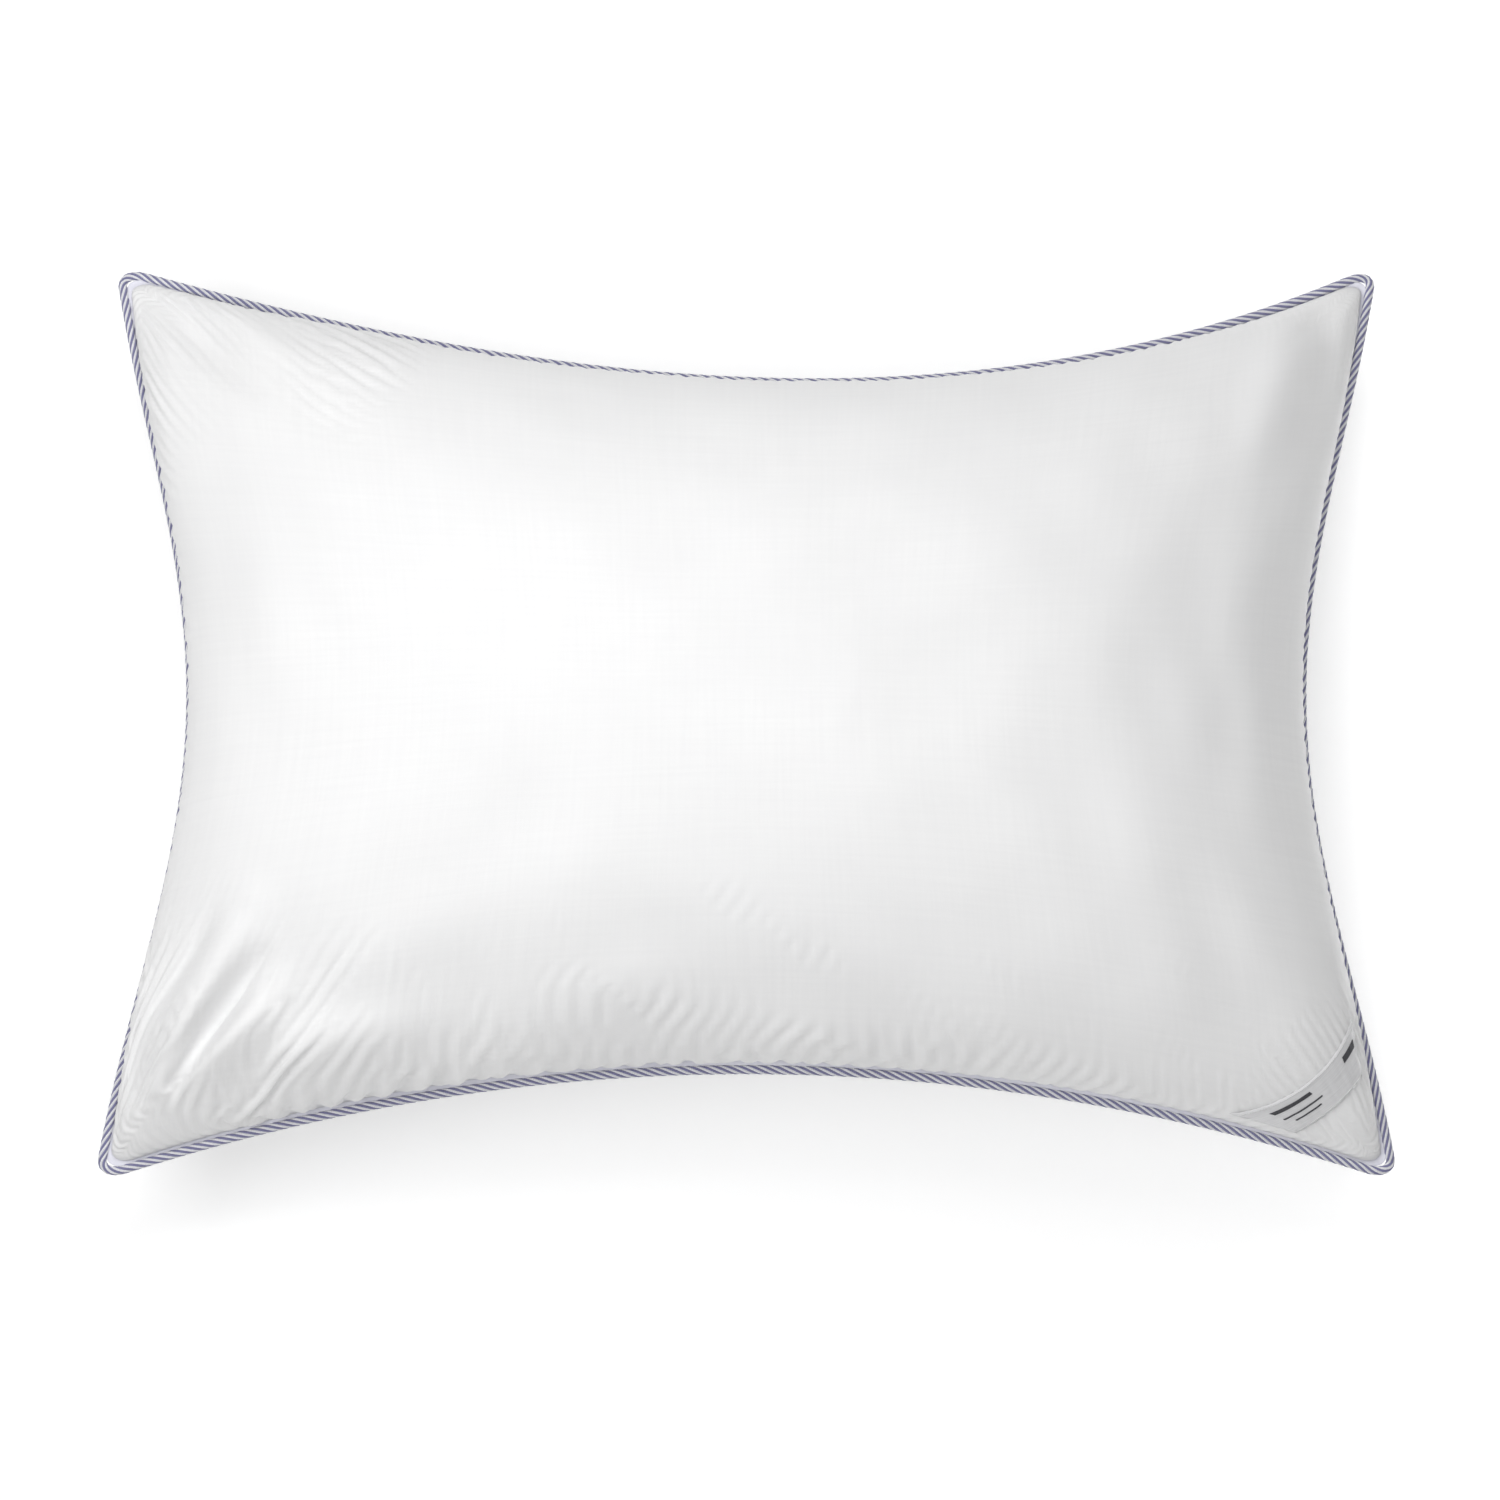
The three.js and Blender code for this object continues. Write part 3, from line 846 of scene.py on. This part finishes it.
def label_rules(grid):
    """Plain rules where a label is printed. Each has its shares across and along it."""
    rules = [
        ((0.22, 0.36), (0.80, 0.955)),
        ((0.22, 0.31), (0.14, 0.46)),
        ((0.50, 0.535), (0.12, 0.50)),
        ((0.66, 0.695), (0.16, 0.44)),
    ]
    pieces = []
    for k, (across, along) in enumerate(rules):
        name = f"corner_label_rule_{k + 1}"
        pieces.append(label_strip(name, grid, across, along, INK_DEPTH, INK_DEPTH, INK))
    return pieces


def corner_label_stitches(grid):
    """Two rows of stitches, along the label's inner and outer edge."""
    makers = []
    for path in label_part(grid, (0.06, 0.94), np.linspace(0.01, 0.99, 60), 0.0001):
        for start, end in zip(path[:-1], path[1:]):
            a, b = start + 0.1 * (end - start), start + 0.9 * (end - start)
            makers.append(lambda first, a=a, b=b: stitch(a, b, UP, LABEL_THREAD_RADIUS, first))
    return joined("corner_label_stitches", makers, THREAD)


def care_label(surface):
    """A soft tag from the -X seam, lying against the back panel."""
    low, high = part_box("care_label")
    along = np.linspace(low[0] + CARE_START, high[0], CARE_LINES[0])
    across = np.linspace(low[1], high[1], CARE_LINES[1])
    rows = []
    for x in along:
        row = []
        for y in across:
            _, t = plan_at(x, y)
            edge = -half_length(t) + CARE_START
            point, normal = hit(surface, max(x, edge), y, -1)
            row.append(point + CARE_LIFT * normal)
        rows.append(row)
    rows = taut(np.array(rows), 10)
    uv = np.stack(np.meshgrid(along, across, indexing="ij"), -1)
    return thin_sheet("care_label_tag", rows, -LABEL_CLOTH, CARE_SATIN, uv.reshape(-1, 2))


def surface_of(piece):
    """A piece's surface, for finding what lies on it."""
    depsgraph = bpy.context.evaluated_depsgraph_get()
    return BVHTree.FromObject(piece, depsgraph)


# ---- the pillow ----
front_piece, front_cloth = panel_cloth("front_panel_cloth", FRONT_RISE, front_slack,
                                       FRONT_FOLDS)
back_piece, back_cloth = panel_cloth("back_panel_cloth", -BACK_DROP, back_slack, [])
finished(front_piece, "panel_cotton", "front_panel")
finished(back_piece, "panel_cotton", "back_panel")
fill_piece = finished(fill_body(front_cloth, back_cloth), "fiber_fill", "fiber_fill")
finished(lip_strip(), "tape_cotton", "piping_tape")
white_cord = cord("piping_cord_white", range(0, STRANDS, 2), WHITE_YARN)
blue_cord = cord("piping_cord_blue", range(1, STRANDS, 2), BLUE_YARN)
finished(white_cord, "cord_white", "piping_cord")
finished(blue_cord, "cord_blue", "piping_cord")
finished(seam_stitches("seam_needle_stitches", 1), "sewing_thread", "seam_needle_thread")
finished(seam_stitches("seam_bobbin_stitches", -1), "sewing_thread", "seam_bobbin_thread")

front_surface, back_surface = surface_of(front_piece), surface_of(back_piece)
label = label_grid(front_surface)
band = label_strip("corner_label_band", label, (0, 1), (0, 1), 0, LABEL_CLOTH, SATIN)
finished(band, "label_satin", "corner_label")
for rule in label_rules(label):
    finished(rule, "label_print")
finished(corner_label_stitches(label), "sewing_thread", "corner_label_thread")
finished(care_label(back_surface), "care_label_satin", "care_label")


# ---- floor, light and camera ----
def floor():
    """A pale floor that glows a little, so that the shadows on it stay soft."""
    mesh = bpy.data.meshes.new("floor")
    half = 40  # far enough that no edge shows
    corners = [(-half, -half, 0), (half, -half, 0), (half, half, 0), (-half, half, 0)]
    mesh.from_pydata(corners, [], [(0, 1, 2, 3)])
    material, _, _ = shader_material("studio floor", (0.97, 0.97, 0.97), 0.9,
                                     Emission_Color=(1, 1, 1, 1), Emission_Strength=0.12)
    mesh.materials.append(material)
    piece = bpy.data.objects.new("floor", mesh)
    bpy.context.scene.collection.objects.link(piece)


def softbox(name, place, aim, size, power):
    """A lamp of that size in metres and power in watts, not seen by the camera itself."""
    light = bpy.data.lights.new(name, "AREA")
    light.shape = "RECTANGLE"
    light.size, light.size_y = size
    light.energy = power
    light.spread = math.pi
    lamp = bpy.data.objects.new(name, light)
    lamp.location = place
    lamp.visible_camera = False
    lamp.rotation_euler = (Vector(aim) - Vector(place)).to_track_quat("-Z", "Y").to_euler()
    bpy.context.scene.collection.objects.link(lamp)


def studio():
    world = bpy.data.worlds.new("studio")
    world.use_nodes = True
    background = world.node_tree.nodes["Background"]
    background.inputs["Color"].default_value = (1, 1, 1, 1)
    background.inputs["Strength"].default_value = 0.30
    bpy.context.scene.world = world
    middle, square = (0, 0, 0.1), (0.8, 0.8)
    softbox("left", (-0.8, 0, 1.3), middle, square, 7.4)
    softbox("far", (0, 0.8, 1.4), middle, square, 7.6)
    softbox("near", (0, -0.6, 1.4), middle, square, 6.3)
    softbox("behind", (-0.3, 1.3, 0.7), middle, square, 1.2)
    softbox("floor", (0.47, -0.12, 0.06), (0.47, -0.12, 0), (0.06, 1.1), 0.9)
    bpy.context.scene.view_settings.view_transform = "Standard"


def camera():
    """Nearly overhead, from the -Y side."""
    elevation = math.radians(82)
    distance = 2.07
    framed = 0.815  # width of the view at the seam's height
    aim_x, aim_y = 0.002, -0.022
    lens = bpy.data.cameras.new("camera")
    lens.sensor_width = 36
    lens.lens = 36 * distance / framed
    shot = bpy.data.objects.new("camera", lens)
    back = distance * math.cos(elevation)
    shot.location = (aim_x, -back + aim_y, SEAM_HEIGHT + distance * math.sin(elevation))
    shot.rotation_euler = (math.pi / 2 - elevation, 0, 0)
    bpy.context.scene.collection.objects.link(shot)
    bpy.context.scene.camera = shot


floor()
studio()
camera()
